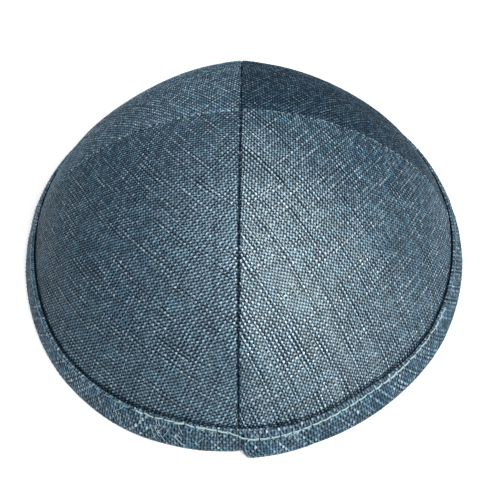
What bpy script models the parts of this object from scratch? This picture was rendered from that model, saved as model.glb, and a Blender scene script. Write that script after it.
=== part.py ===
# A kippah: a cloth skullcap of four gores, sewn edge to edge, with its raw rim inside a folded binding.
# Metres, +Z up, the front towards -Y. The cap rests on its rim at z = 0, its box centred on the origin.
# An azimuth is in degrees about +Z from +X, so the seams lie at -90 (front), 0, 90 and 180.

from collections import namedtuple
from math import ceil, cos, floor, radians, sin, sqrt

import bmesh
import bpy
from mathutils import Vector

MM = 0.001

# The crown. Each row is a place on the way up from the rim (0) to the top (90), as an angle at the
# middle of the rim, with how far the cloth lies from there before the crown is flattened: along a
# seam, which is a slight ridge, and along the middle of a gore, which is flatter.
Row = namedtuple("Row", "angle seam_mm gore_mm")
CROWN = (
    Row(0, 79.1, 79.8),
    Row(15, 74.8, 74.6),
    Row(30, 74.4, 71.9),
    Row(45, 74.2, 72.3),
    Row(60, 76.1, 75.0),
    Row(75, 78.3, 78.1),
    Row(90, 80.0, 80.0),
)
CROWN_FLATTENING = 0.674  # height over half width
FRONT_TO_BACK = 1.103  # length over width
CROWN_BACK_MM = 1.8  # the top lies this far behind the middle of the rim
FRONT_PULL = 0.0134  # the rim is drawn out at the front and pressed in beside it
SEAM_LEAN = 0.018  # the front seam leans to the left on its way down
RIM_MIDDLE_MM = (0.0, 1.7)  # where the middle of the rim lies, which centres the box

# The cloth and how it is joined
GORE_WALL_MM = 1.2
SEAM_GAP_MM = 0.3
GORE_EDGE_ANGLE = 3.0  # the raw rim edge, inside the fold of the binding
GORE_COLUMNS = 16
COLUMN_ANGLE = 90 / GORE_COLUMNS
HIDDEN_ROWS = 2  # rows of the gore inside the fold of the binding
OPEN_ROWS = 14

# The binding: a folded strip with a leg outside the rim, one inside it and a flat foot
BINDING_TOP_ANGLE = 8.0
BINDING_SHOULDER_ANGLE = 7.5  # where each leg starts to round over at its top
LEG_MM = 1.15  # the leg's cloth, measured level, across the slope of the crown
OUTER_GAP_MM = 0.56  # measured level too, which leaves 0.3 mm or more square to the cloth
INNER_GAP_MM = 0.46
FOOT_MM = 1.0
FOOT_ROUND_MM = 0.5
FOOT_LIFT_MM = 1.3  # what the covered end rises by, to lie on the foot of the end that covers it
LAP_EDGE = -89.1  # the covering end, just right of the front seam
LAP_COVER = 6.0  # degrees of the rim that both ends cover
LAP_STEP = 2  # degrees between the sections there
LAP_EASE = (7.0, 20.0)  # degrees from the lap's edge over which the covering end closes on the rim
STEP_UP = (1.8, 0.3)  # degrees before the lap's edge where the covered end starts and stops rising

# The rim is drawn in a little under the binding on the left of the lap
TUCK_MM = 0.75
TUCK_LEFT = (10.0, 28.0)  # degrees left of the lap's edge: full depth up to here, gone by here
TUCK_RIGHT = 13.0  # degrees right of it where it is gone

GORES = {  # each gore and the azimuth of the seam that it starts from
    "panel_back_right": 0,
    "panel_back_left": 90,
    "panel_front_left": 180,
    "panel_front_right": 270,
}
CLOTH_COLOUR = (0.13, 0.21, 0.28, 1.0)  # slate blue, as linear values
CLOTH_ROUGHNESS = 0.85
SHARP_ANGLE = radians(40)


def clear_scene():
    for thing in list(bpy.data.objects):
        bpy.data.objects.remove(thing, do_unlink=True)


def smooth_step(value):
    t = min(max(value, 0.0), 1.0)
    return t * t * (3 - 2 * t)


def along_crown(angle, column):
    # A smooth curve through the rows, level at the top, where the crown has no point
    step = CROWN[1].angle - CROWN[0].angle
    values = [getattr(row, column) for row in CROWN]
    last = len(values) - 1
    slopes = [values[1] - values[0]]
    slopes += [(values[i + 1] - values[i - 1]) / 2 for i in range(1, last)]
    slopes += [0.0]
    i = min(int(angle / step), last - 1)
    t = angle / step - i
    rise = values[i + 1] - values[i]
    bend = slopes[i] * (1 - t) - slopes[i + 1] * t - rise * (1 - 2 * t)
    return values[i] + rise * t + t * (1 - t) * bend


def flatness(azimuth):
    # 0 at a seam and 1 in the middle of a gore, as a straight line between two seams would run
    across = radians(azimuth % 90)
    return (1 - 1 / (cos(across) + sin(across))) / (1 - 1 / sqrt(2))


def outward(azimuth, angle=0.0):
    # The way out of the cloth. It takes the crown as an ellipsoid, so it is the same for the gores
    # on both sides of a seam.
    a, e = radians(azimuth), radians(angle)
    level = Vector((cos(a), sin(a) / FRONT_TO_BACK, 0)) * cos(e)
    return (level + Vector((0, 0, sin(e) / CROWN_FLATTENING))).normalized()


def right_of_lap(azimuth):
    # Degrees from the lap's edge, from -180 to 180, less than 0 on its left
    return (azimuth - LAP_EDGE + 180) % 360 - 180


def tuck(azimuth, angle):
    if angle >= BINDING_TOP_ANGLE:
        return 0.0
    side = right_of_lap(azimuth)
    full, gone = TUCK_LEFT
    faded = side / TUCK_RIGHT if side > 0 else (-side - full) / (gone - full)
    return TUCK_MM * (1 - smooth_step(faded)) * (1 - angle / BINDING_TOP_ANGLE)


def crown_point(azimuth, angle):
    # A point of the outside of the crown, in millimetres
    a, e = radians(azimuth), radians(angle)
    seam, gore = along_crown(angle, "seam_mm"), along_crown(angle, "gore_mm")
    reach = seam + (gore - seam) * flatness(azimuth)
    level = reach * cos(e) * (1 + FRONT_PULL * sin(3 * a) * cos(e))
    x = level * cos(a)
    y = level * sin(a) * FRONT_TO_BACK + CROWN_BACK_MM * sin(e)
    x += SEAM_LEAN * min(y, 0)
    point = Vector((x, y, reach * sin(e) * CROWN_FLATTENING))
    point -= outward(azimuth) * tuck(azimuth, angle)
    return point + Vector((*RIM_MIDDLE_MM, 0))


def gore_mesh(first_seam):
    # The outer sheet is a grid that closes to a point at the top. Extruding it makes the inner
    # sheet and the edges, and moving each new vertex into the crown gives the wall.
    bm = bmesh.new()
    middle = radians(first_seam + 45)
    apart = Vector((cos(middle), sin(middle), 0)) * SEAM_GAP_MM / sqrt(2)
    inner_place = {}

    def vertex(azimuth, angle):
        outer = crown_point(azimuth, angle) + apart
        made = bm.verts.new(outer * MM)
        inner = outer - outward(azimuth, angle) * GORE_WALL_MM
        inner_place[made.co.to_tuple()] = inner * MM
        return made

    hidden = (BINDING_TOP_ANGLE - GORE_EDGE_ANGLE) / HIDDEN_ROWS
    shown = (90 - BINDING_TOP_ANGLE) / OPEN_ROWS
    angles = [GORE_EDGE_ANGLE + hidden * row for row in range(HIDDEN_ROWS)]
    angles += [BINDING_TOP_ANGLE + shown * row for row in range(OPEN_ROWS)]
    azimuths = [first_seam + COLUMN_ANGLE * i for i in range(GORE_COLUMNS + 1)]
    grid = [[vertex(azimuth, angle) for azimuth in azimuths] for angle in angles]
    for low, high in zip(grid, grid[1:]):
        for i in range(GORE_COLUMNS):
            bm.faces.new((low[i], low[i + 1], high[i + 1], high[i]))
    top = vertex(first_seam, 90)
    for i in range(GORE_COLUMNS):
        bm.faces.new((grid[-1][i], grid[-1][i + 1], top))

    extruded = bmesh.ops.extrude_face_region(bm, geom=bm.faces[:], use_keep_orig=True)
    for piece in extruded["geom"]:
        if isinstance(piece, bmesh.types.BMVert):
            piece.co = inner_place[piece.co.to_tuple()]
    return finished_mesh(bm)


def angle_at_height(height):
    # Near the rim the angle grows almost evenly with height
    per_degree = CROWN[0].seam_mm * CROWN_FLATTENING * radians(1)
    return height / per_degree


def binding_section(azimuth, spread, lift):
    # The folded strip cut across: down the outer leg, along the foot, up the inner leg, and back
    # along the inside of the fold. Spread opens the fold, and lift raises its foot.
    level = outward(azimuth)
    near = OUTER_GAP_MM + spread
    far = near + LEG_MM
    inside_near = -(GORE_WALL_MM + INNER_GAP_MM + spread)
    inside_far = inside_near - LEG_MM
    middle_angle = (GORE_EDGE_ANGLE + BINDING_TOP_ANGLE) / 2
    leg_angles = (GORE_EDGE_ANGLE, middle_angle, BINDING_SHOULDER_ANGLE)

    def on_leg(angle, out):
        return crown_point(azimuth, angle) + level * out

    def on_foot(height, out):
        point = crown_point(azimuth, angle_at_height(height)) + level * out
        point.z = height
        return point

    points = [on_leg(BINDING_TOP_ANGLE, (near + far) / 2)]
    points += [on_leg(angle, far) for angle in reversed(leg_angles)]
    points += [on_foot(lift + FOOT_ROUND_MM, far), on_foot(lift, far - FOOT_ROUND_MM)]
    points += [on_foot(lift, inside_far + FOOT_ROUND_MM), on_foot(lift + FOOT_ROUND_MM, inside_far)]
    points += [on_leg(angle, inside_far) for angle in leg_angles]
    points += [on_leg(BINDING_TOP_ANGLE, (inside_near + inside_far) / 2)]
    points += [on_leg(angle, inside_near) for angle in reversed(leg_angles)]
    points += [on_foot(lift + FOOT_MM, inside_near), on_foot(lift + FOOT_MM, near)]
    points += [on_leg(angle, near) for angle in leg_angles]
    return [point * MM for point in points]


def binding_sections():
    # From the covering end, right round the rim, to the covered end
    whole_spread = LEG_MM + OUTER_GAP_MM
    ease_start, ease_end = LAP_EASE
    sections = []
    for side in range(0, int(ease_end), LAP_STEP):
        eased = smooth_step((side - ease_start) / (ease_end - ease_start))
        sections.append(binding_section(LAP_EDGE + side, whole_spread * (1 - eased), 0))

    full_turn = LAP_EDGE + 360
    rise_start, rise_end = STEP_UP
    first = ceil((LAP_EDGE + ease_end) / COLUMN_ANGLE)
    last = floor((full_turn - rise_start - 1) / COLUMN_ANGLE)
    sections += [binding_section(COLUMN_ANGLE * i, 0, 0) for i in range(first, last + 1)]

    halfway = (rise_start + rise_end) / 2
    sections.append(binding_section(full_turn - rise_start, 0, 0))
    sections.append(binding_section(full_turn - halfway, 0, FOOT_LIFT_MM / 2))
    sections.append(binding_section(full_turn - rise_end, 0, FOOT_LIFT_MM))
    for side in range(LAP_STEP, int(LAP_COVER) + 1, LAP_STEP):
        sections.append(binding_section(full_turn + side, 0, FOOT_LIFT_MM))
    return sections


def binding_mesh():
    bm = bmesh.new()
    rings = [[bm.verts.new(point) for point in section] for section in binding_sections()]
    corners = len(rings[0])
    for here, there in zip(rings, rings[1:]):
        for i in range(corners):
            k = (i + 1) % corners
            bm.faces.new((here[i], here[k], there[k], there[i]))
    bm.faces.new(rings[0])
    bm.faces.new(rings[-1])
    return finished_mesh(bm)


def finished_mesh(bm):
    bmesh.ops.recalc_face_normals(bm, faces=bm.faces)
    mesh = bpy.data.meshes.new("cloth")
    bm.to_mesh(mesh)
    bm.free()
    mesh.shade_smooth()
    mesh.set_sharp_from_angle(angle=SHARP_ANGLE)
    return mesh


def cloth_material(name):
    material = bpy.data.materials.new(name + "_linen")
    material.use_nodes = True
    shader = material.node_tree.nodes["Principled BSDF"]
    shader.inputs["Base Color"].default_value = CLOTH_COLOUR
    shader.inputs["Roughness"].default_value = CLOTH_ROUGHNESS
    shader.inputs["Metallic"].default_value = 0.0
    material.diffuse_color = CLOTH_COLOUR
    return material


def add_piece(name, mesh):
    mesh.name = name
    mesh.materials.append(cloth_material(name))
    piece = bpy.data.objects.new(name, mesh)
    bpy.context.scene.collection.objects.link(piece)
    return piece


def main():
    clear_scene()
    for name, first_seam in GORES.items():
        add_piece(name, gore_mesh(first_seam))
    add_piece("rim_binding", binding_mesh())


main()
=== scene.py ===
from math import cos, radians, sin, sqrt, tau

import bmesh
import bpy
import numpy as np
from mathutils import Matrix, Vector


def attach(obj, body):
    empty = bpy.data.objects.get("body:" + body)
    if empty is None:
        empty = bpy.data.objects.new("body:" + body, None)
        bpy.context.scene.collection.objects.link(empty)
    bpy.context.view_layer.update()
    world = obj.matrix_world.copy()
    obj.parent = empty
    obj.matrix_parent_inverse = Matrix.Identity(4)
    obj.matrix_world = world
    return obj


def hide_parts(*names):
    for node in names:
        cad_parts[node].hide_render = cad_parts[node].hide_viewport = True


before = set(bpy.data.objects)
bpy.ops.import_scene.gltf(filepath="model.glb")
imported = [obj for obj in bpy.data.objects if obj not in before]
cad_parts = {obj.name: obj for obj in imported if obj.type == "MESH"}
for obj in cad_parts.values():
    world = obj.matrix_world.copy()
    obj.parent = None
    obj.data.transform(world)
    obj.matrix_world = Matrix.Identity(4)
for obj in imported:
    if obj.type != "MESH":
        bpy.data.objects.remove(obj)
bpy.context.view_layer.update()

# A kippah of four linen gores in a folded binding. Sizes are in millimetres and angles in degrees until
# a mesh is made from them. Azimuths turn about +Z from +X, so the front seam is at -90.

mm = 0.001
mathNode = "ShaderNodeMath"
vectorMath = "ShaderNodeVectorMath"
mapRange = "ShaderNodeMapRange"
noiseTexture = "ShaderNodeTexNoise"
namedAttribute = "GeometryNodeInputNamedAttribute"
mixColours = "ShaderNodeMix"
asColours = {"data_type": "RGBA"}  # its inputs are then 0, 6 and 7, and its result is 2
noiseSpan = {"From Min": 0.3, "From Max": 0.7}  # the values that a noise texture mostly has


# Small helpers

def toLinear(hexColour):
    parts = [int(hexColour[i:i + 2], 16) / 255 for i in (1, 3, 5)]
    return [c / 12.92 if c <= 0.04045 else ((c + 0.055) / 1.055) ** 2.4 for c in parts] + [1.0]


def setInputs(tree, node, inputs):
    # Inputs go by name, or in order. Each is a value, another node's output, or a node, which stands
    # for its first output.
    for key, value in inputs.items() if isinstance(inputs, dict) else enumerate(inputs):
        value = value.outputs[0] if isinstance(value, bpy.types.Node) else value
        if isinstance(value, bpy.types.NodeSocket):
            tree.links.new(value, node.inputs[key])
        else:
            node.inputs[key].default_value = value


def addNode(tree, kind, settings=None, inputs=()):
    # Settings that are one word are the node's operation
    node = tree.nodes.new(kind)
    settings = {"operation": settings} if isinstance(settings, str) else settings or {}
    for name, value in settings.items():
        setattr(node, name, value)
    setInputs(tree, node, inputs)
    return node


def newMaterial(name):
    material = bpy.data.materials.new(name)
    material.use_nodes = True
    return material, material.node_tree, material.node_tree.nodes["Principled BSDF"]


def smoothStep(value):
    t = np.clip(value, 0, 1)
    return t * t * (3 - 2 * t)


def addObject(name, mesh):
    made = bpy.data.objects.new(name, mesh)
    bpy.context.scene.collection.objects.link(made)
    return made


# The crown's surface, by the same rule as its solids

crown = {
    "rowStep": 15,  # the rows below go from the rim (0) to the top (90)
    "seamReach": (79.1, 74.8, 74.4, 74.2, 76.1, 78.3, 80.0),
    "goreReach": (79.8, 74.6, 71.9, 72.3, 75.0, 78.1, 80.0),
    "flattening": 0.674,  # height over half width
    "frontToBack": 1.103,  # length over width
    "topBack": 1.8,  # the top lies this far behind the middle of the rim
    "frontPull": 0.0134,  # the rim is drawn out at the front and pressed in beside it
    "seamLean": 0.018,  # the front seam leans to the left on its way down
    "rimMiddle": 1.7,
    "clothEdge": 3.0,  # the angle of the gores' raw edge, inside the binding
    "bindingTop": 8.0,  # and the angle just over the binding's upper fold
    "tuckDepth": 0.75,  # the rim is drawn in under the binding left of the lap
    "tuckLeft": (10.0, 28.0),
    "tuckRight": 13.0,
    "lapEdge": -89.1,
    "trims": ((10, 22, -0.9), (197, 24, -0.9), (-38, 10, 0.4)),  # azimuth, spread, and mm at the rim
}
perDegree = crown["seamReach"][0] * crown["flattening"] * radians(1)  # height for each degree near the rim


def aroundFrom(azimuth, middle):
    # Degrees from a middle, from -180 to 180
    return (azimuth - middle + 180) % 360 - 180


def alongCrown(angle, reaches):
    values = np.array(reaches)
    slopes = np.gradient(values)
    slopes[-1] = 0
    i = np.clip((angle / crown["rowStep"]).astype(int), 0, len(values) - 2)
    t = angle / crown["rowStep"] - i
    rise = values[i + 1] - values[i]
    bend = slopes[i] * (1 - t) - slopes[i + 1] * t - rise * (1 - 2 * t)
    return values[i] + rise * t + t * (1 - t) * bend


def outward(azimuth, angle):
    a, e = np.radians(azimuth), np.radians(angle)
    way = np.stack([np.cos(a) * np.cos(e), np.sin(a) / crown["frontToBack"] * np.cos(e),
                    np.sin(e) / crown["flattening"] + 0 * a], -1)
    return way / np.linalg.norm(way, axis=-1, keepdims=True)


def tuck(azimuth, angle):
    side = aroundFrom(azimuth, crown["lapEdge"])
    full, gone = crown["tuckLeft"]
    faded = np.where(side > 0, side / crown["tuckRight"], (-side - full) / (gone - full))
    return crown["tuckDepth"] * (1 - smoothStep(faded)) * np.clip(1 - angle / crown["bindingTop"], 0, 1)


def crownPoint(azimuth, angle):
    a, e = np.radians(azimuth), np.radians(angle)
    part = np.radians(azimuth % 90)
    flatness = (1 - 1 / (np.cos(part) + np.sin(part))) / (1 - 1 / sqrt(2))
    seam, gore = alongCrown(angle, crown["seamReach"]), alongCrown(angle, crown["goreReach"])
    reach = seam + (gore - seam) * flatness
    level = reach * np.cos(e) * (1 + crown["frontPull"] * np.sin(3 * a) * np.cos(e))
    for middle, spread, amount in crown["trims"]:
        level = level + amount * np.exp(-(aroundFrom(azimuth, middle) / spread) ** 2) * np.cos(e) ** 2
    x = level * np.cos(a)
    y = level * np.sin(a) * crown["frontToBack"] + crown["topBack"] * np.sin(e)
    x = x + crown["seamLean"] * np.minimum(y, 0)
    point = np.stack([x, y + crown["rimMiddle"], reach * np.sin(e) * crown["flattening"]], -1)
    return point - outward(azimuth, 0 * angle) * tuck(azimuth, angle)[..., None]


# The cloth: a plain weave, whose threads run down the middle of each gore and straight across it

cloth = {
    "threadSpacing": 1.266,
    "meshStep": 0.2983,  # between points on the faces that show
    "innerCells": 24,  # each way, on a gore's inner face
    "threadHeight": 0.22,  # from the gaps of the weave to the middle of a thread
    "threadWander": 0.1,
    "spacingWander": 0.065,  # a share of the spacing
    "lean": 0.35,  # of each float, with the twist of its yarn
    "thickness": 0.75,
    "allowance": 7.0,  # what is pressed open inside along each seam
    "ghost": 0.12,  # how far the allowances press the cloth out
    "ridgeWidth": 2.4,  # of a pressed seam that stands up
    "uneven": ((21, 27, 34, 45), 0.12),  # the lengths and the height of the gores' soft waves
    "fan": (0.585, 2.65),  # how far a gore's flat cut opens at its rim, as a share of 90 degrees
}

seams = {  # the radius that the cloth turns in with, how high the pressed seam stands, and its gap
    "front": {"turn": 0.6, "ridge": 0.0, "gap": 0.4},
    "back": {"turn": 0.45, "ridge": 0.08, "gap": 0.15},
    "left": {"turn": 0.35, "ridge": 0.22, "gap": 0.06},
    "right": {"turn": 0.35, "ridge": 0.22, "gap": 0.06},
}

# Each gore starts from the azimuth of its first seam. Its cloth may lie the other way round. Shade is
# painted light and shade: how much lighter or darker its colour is made for how the lamps light it.
# Slubs are how uneven its threads are down it and across it, and rows how strongly the floats of its
# weave line up along each diagonal.
gores = {
    "crown_back_right": {
        "start": 0, "seams": ("right", "back"), "node": "panel_back_right", "mirrored": True, "seed": 4,
        "shade": 0.5, "gloss": 0.45, "slubs": (0.3, 0.6), "rows": (0.5, 0.4),
    },
    "crown_back_left": {
        "start": 90, "seams": ("back", "left"), "node": "panel_back_left", "mirrored": False, "seed": 7,
        "shade": 1.14, "gloss": 1.0, "slubs": (0.3, 0.5), "rows": (0.5, 0.4),
    },
    "crown_front_left": {
        "start": 180, "seams": ("left", "front"), "node": "panel_front_left", "mirrored": True, "seed": 11,
        "shade": 0.8, "gloss": 1.0, "slubs": (0.35, 0.5), "rows": (0.54, 0.32),
    },
    "crown_front_right": {
        "start": 270, "seams": ("front", "right"), "node": "panel_front_right", "mirrored": False, "seed": 15,
        "shade": 0.98, "gloss": 1.0, "slubs": (0.7, 0.3), "rows": (0.42, 0.52), "glossTint": "#e2f0ee",
    },
}

degrees = np.linspace(0, 90, 91)  # a table's places across a gore, and from the rim to the top
halfway = 45


def flatCut(start):
    # The flat cut of a gore, as tables over its azimuth and angle: each level line keeps its length
    # and becomes an arc. Its corner at the top is the origin and its two seams leave along the axes.
    azimuths, angles = np.meshgrid(degrees, degrees, indexing="ij")
    points = crownPoint(start + azimuths, angles)
    steps = np.linalg.norm(np.diff(points, axis=0), axis=-1)
    level = np.concatenate([np.zeros((1, len(degrees))), np.cumsum(steps, axis=0)])
    down = np.linalg.norm(np.diff(points[halfway], axis=0), axis=-1)[::-1]
    depth = np.concatenate([[0], np.cumsum(down)])[::-1]
    narrow, power = cloth["fan"]
    share = narrow + (1 - narrow) * (angles / 90) ** power
    turn = np.radians(azimuths - halfway) * share
    across = level - level[halfway]
    turn[halfway] = 1
    radius = across / turn
    radius[halfway] = (radius[halfway - 1] + radius[halfway + 1]) / 2
    turn[halfway] = 0
    along, aside = depth + radius * (np.cos(turn) - 1), radius * np.sin(turn)
    flat = np.stack([along + aside, along - aside], -1) / sqrt(2)
    return {"flat": flat, "level": level, "depth": depth}


def readTable(table, azimuth, angle):
    # The value there, between the table's four nearest, and how it grows with azimuth and with angle
    last = len(degrees) - 2
    i, j = np.clip(azimuth.astype(int), 0, last), np.clip(angle.astype(int), 0, last)
    s, t = azimuth - i, angle - j
    if table.ndim == 3:
        s, t = s[..., None], t[..., None]
    a, b, c, d = table[i, j], table[i + 1, j], table[i, j + 1], table[i + 1, j + 1]
    value = a * (1 - s) * (1 - t) + b * s * (1 - t) + c * (1 - s) * t + d * s * t
    return value, (b - a) * (1 - t) + (d - c) * t, (c - a) * (1 - s) + (d - b) * s


def acrossGore(cut, azimuth, angle):
    # How far a point lies from the first seam on its level line, and how long the whole line is
    level = readTable(cut["level"], azimuth, angle)[0]
    return level, readTable(cut["level"], azimuth * 0 + 90, angle)[0]


def placeOnGore(cut, flat):
    # From flat cloth back to azimuth and angle: a first guess, then steps down the slope of what it misses
    steps, longest = 14, 12
    far = np.hypot(flat[..., 0], flat[..., 1])
    angle = np.clip(90 - 90 * far / cut["depth"][0], 1, 89)
    azimuth = np.degrees(np.arctan2(flat[..., 0], flat[..., 1]))
    for _ in range(steps):
        value, byAzimuth, byAngle = readTable(cut["flat"], azimuth, angle)
        miss = flat - value
        det = byAzimuth[..., 0] * byAngle[..., 1] - byAzimuth[..., 1] * byAngle[..., 0]
        det = np.where(abs(det) < 1e-6, 1e-6, det)
        turnBy = (miss[..., 0] * byAngle[..., 1] - miss[..., 1] * byAngle[..., 0]) / det
        riseBy = (byAzimuth[..., 0] * miss[..., 1] - byAzimuth[..., 1] * miss[..., 0]) / det
        azimuth = np.clip(azimuth + np.clip(turnBy, -longest, longest), -25, 115)
        angle = np.clip(angle + np.clip(riseBy, -longest, longest), -12, 89.95)
    return azimuth, angle


def waves(seed, x, y, lengths, height):
    # A soft, even unevenness from a few waves in random directions
    random = np.random.default_rng(seed)
    total = 0 * x
    for length in lengths:
        way, phase = random.uniform(0, tau, 2)
        total = total + np.sin((x * cos(way) + y * sin(way)) * tau / length + phase)
    return total * height / sqrt(len(lengths))


def goreRelief(azimuth, angle, apart, gore, x, y):
    # How far the cloth stands off the crown's rule, before its weave
    height = 0
    for away, name in zip(apart, gore["seams"]):
        seam = seams[name]
        inTurn = np.clip(seam["turn"] - away, 0, seam["turn"])
        height = height + np.sqrt(np.maximum(seam["turn"] ** 2 - inTurn ** 2, 0)) - seam["turn"]
        height = height + seam["ridge"] * (1 - smoothStep(away / cloth["ridgeWidth"]))
    fromSeam = np.minimum(*apart)
    ghost = smoothStep(fromSeam / 1.5) * (1 - smoothStep((fromSeam - cloth["allowance"] + 0.8) / 1.6))
    height = height + cloth["ghost"] * ghost
    height = height - bindingPinch(azimuth, angle)
    calm = smoothStep((angle - crown["bindingTop"]) / 10) * smoothStep(fromSeam / 6)
    return height + calm * waves(gore["seed"], x, y, *cloth["uneven"])


def joinLoops(outerLoop, outerAt, innerLoop, innerAt):
    # Triangles between two closed loops of points, which both start at place 0
    faces = []
    i = j = 0
    n, m = len(outerLoop), len(innerLoop)
    outerAt, innerAt = [*outerAt, 99], [*innerAt, 99]
    while i < n or j < m:
        if j == m or (i < n and outerAt[i + 1] <= innerAt[j + 1]):
            faces.append((outerLoop[i % n], outerLoop[(i + 1) % n], innerLoop[j % m]))
            i += 1
        else:
            faces.append((outerLoop[i % n], innerLoop[(j + 1) % m], innerLoop[j % m]))
            j += 1
    return faces


def roundTheEdge(azimuth, angle):
    # A place from 0 to 3 round a gore: along the rim, up the far seam, and down the first one
    low = crown["clothEdge"]
    up = (angle - low) / (90 - low)
    onRim = azimuth / 90
    sides = np.stack([angle - low, 90 - azimuth, azimuth], -1)
    side = np.argmin(sides, axis=-1)
    return np.choose(side, [onRim, 1 + up, 3 - up])


def clothGrid(cut):
    # A fine grid over the whole square of cloth, aslant to its threads. Points near the gore's edge
    # move onto it, and what lies outside is left out.
    cell, low = cloth["meshStep"], crown["clothEdge"]
    places = np.arange(-2, cut["flat"][..., 0].max() + 2, cell)
    flat = np.stack(np.meshgrid(places, places, indexing="ij"), -1)
    azimuth, angle = placeOnGore(cut, flat)
    level, whole = acrossGore(cut, azimuth, angle)
    toRim = np.interp(low, degrees, cut["depth"]) - np.interp(angle, degrees, cut["depth"])
    toRim = np.where(angle < 0, (angle - low) * 0.95, toRim)
    edges = np.stack([level, whole - level, toRim], -1)
    inside = (edges > cell / 2).all(-1)
    moved = (edges > -cell / 2).all(-1) & ~inside
    onEdge = moved[..., None] & (abs(edges) <= cell / 2)
    azimuth = np.where(onEdge[..., 0], 0, azimuth)
    azimuth = np.where(onEdge[..., 1], 90, azimuth)
    angle = np.where(onEdge[..., 2], low, angle)
    for corner in ((0.0, low), (90.0, low), (0.0, 90.0)):
        spot = readTable(cut["flat"], *map(np.array, corner))[0]
        gap = np.linalg.norm(flat - spot, axis=-1)
        nearest = np.unravel_index(np.argmin(gap), gap.shape)
        azimuth[nearest], angle[nearest] = corner
        moved[nearest], inside[nearest] = True, False

    number = np.arange(azimuth.size).reshape(azimuth.shape)
    corners = np.stack([number[:-1, :-1], number[:-1, 1:], number[1:, 1:], number[1:, :-1]], -1)
    corners = corners.reshape(-1, 4)
    kept, within = (inside | moved).ravel()[corners], inside.ravel()[corners]
    fours = corners[kept.all(1) & within.any(1)]
    three = (kept.sum(1) == 3) & within.any(1)
    threes = corners[three][kept[three]].reshape(-1, 3)
    used = np.unique(np.concatenate([fours.ravel(), threes.ravel()]))
    renumber = np.full(azimuth.size, -1)
    renumber[used] = np.arange(len(used))
    faces = renumber[fours].tolist() + renumber[threes].tolist()
    return azimuth.ravel()[used], np.clip(angle.ravel()[used], low, 90), flat.reshape(-1, 2)[used], faces


def edgeLoop(name, faces, azimuth, angle):
    # The loop round the edge of the outer face, and the place of each of its points
    once = {}
    for face in faces:
        for a, b in zip(face, face[1:] + face[:1]):
            if once.pop((b, a), None) is None:
                once[(a, b)] = True
    following = {a: b for a, b in once}
    assert len(following) == len(once), name + " has a pinched edge"
    places = roundTheEdge(azimuth, angle)
    onRim = angle <= crown["clothEdge"] + 0.01
    first = min(following, key=lambda v: (places[v] if onRim[v] else 9, azimuth[v]))
    loop = [first]
    while following[loop[-1]] != first:
        loop.append(following[loop[-1]])
    assert len(loop) == len(once), name + " has two edges"
    if places[loop[len(loop) // 8]] > 1.5:  # it runs the other way round
        loop = [loop[0]] + loop[:0:-1]
    return loop, np.maximum.accumulate(places[loop])


def innerFace(start, base):
    # A coarse grid that the edge is drawn in to, with the loop round it
    low, cells = crown["clothEdge"], cloth["innerCells"]
    across, up = np.linspace(0, 90, cells + 1), np.linspace(low, 90, cells + 1)[:-1]
    azimuth, angle = np.meshgrid(across, up, indexing="ij")
    grid = np.arange(azimuth.size).reshape(azimuth.shape) + base
    tip = base + azimuth.size
    azimuth, angle = np.append(azimuth.ravel(), 45), np.append(angle.ravel(), 90)
    drawnIn = cloth["thickness"] + bindingPinch(start + azimuth, angle)
    points = crownPoint(start + azimuth, angle) - outward(start + azimuth, angle) * drawnIn[..., None]
    faces = []
    for i in range(cells):
        for j in range(cells - 1):
            faces.append((grid[i, j], grid[i + 1, j], grid[i + 1, j + 1], grid[i, j + 1]))
        faces.append((grid[i, -1], grid[i + 1, -1], tip))
    loop = [*grid[:, 0], *grid[-1, 1:], tip, *grid[0, :0:-1]]
    loopAt = [roundTheEdge(azimuth[v - base], angle[v - base]) for v in loop]
    loopAt[loop.index(tip)] = 2.0
    return {"azimuth": azimuth, "angle": angle, "points": points, "faces": faces,
            "loop": loop, "loopAt": loopAt}


def goreMaps(threads, outer):
    # A map for baked textures: the flat cut upright, with a small one of the inner face beside its tip
    upright = turnEighth(threads)
    large = upright / np.ptp(upright, axis=0).max() * 0.97 + [0.5, 0.015]
    wider = np.where(np.arange(len(large)) < outer, 1.06, 1.0)
    small = (large - 0.5) * 0.22 * wider[:, None] + 0.13
    return [large, small, small, small]


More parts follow.
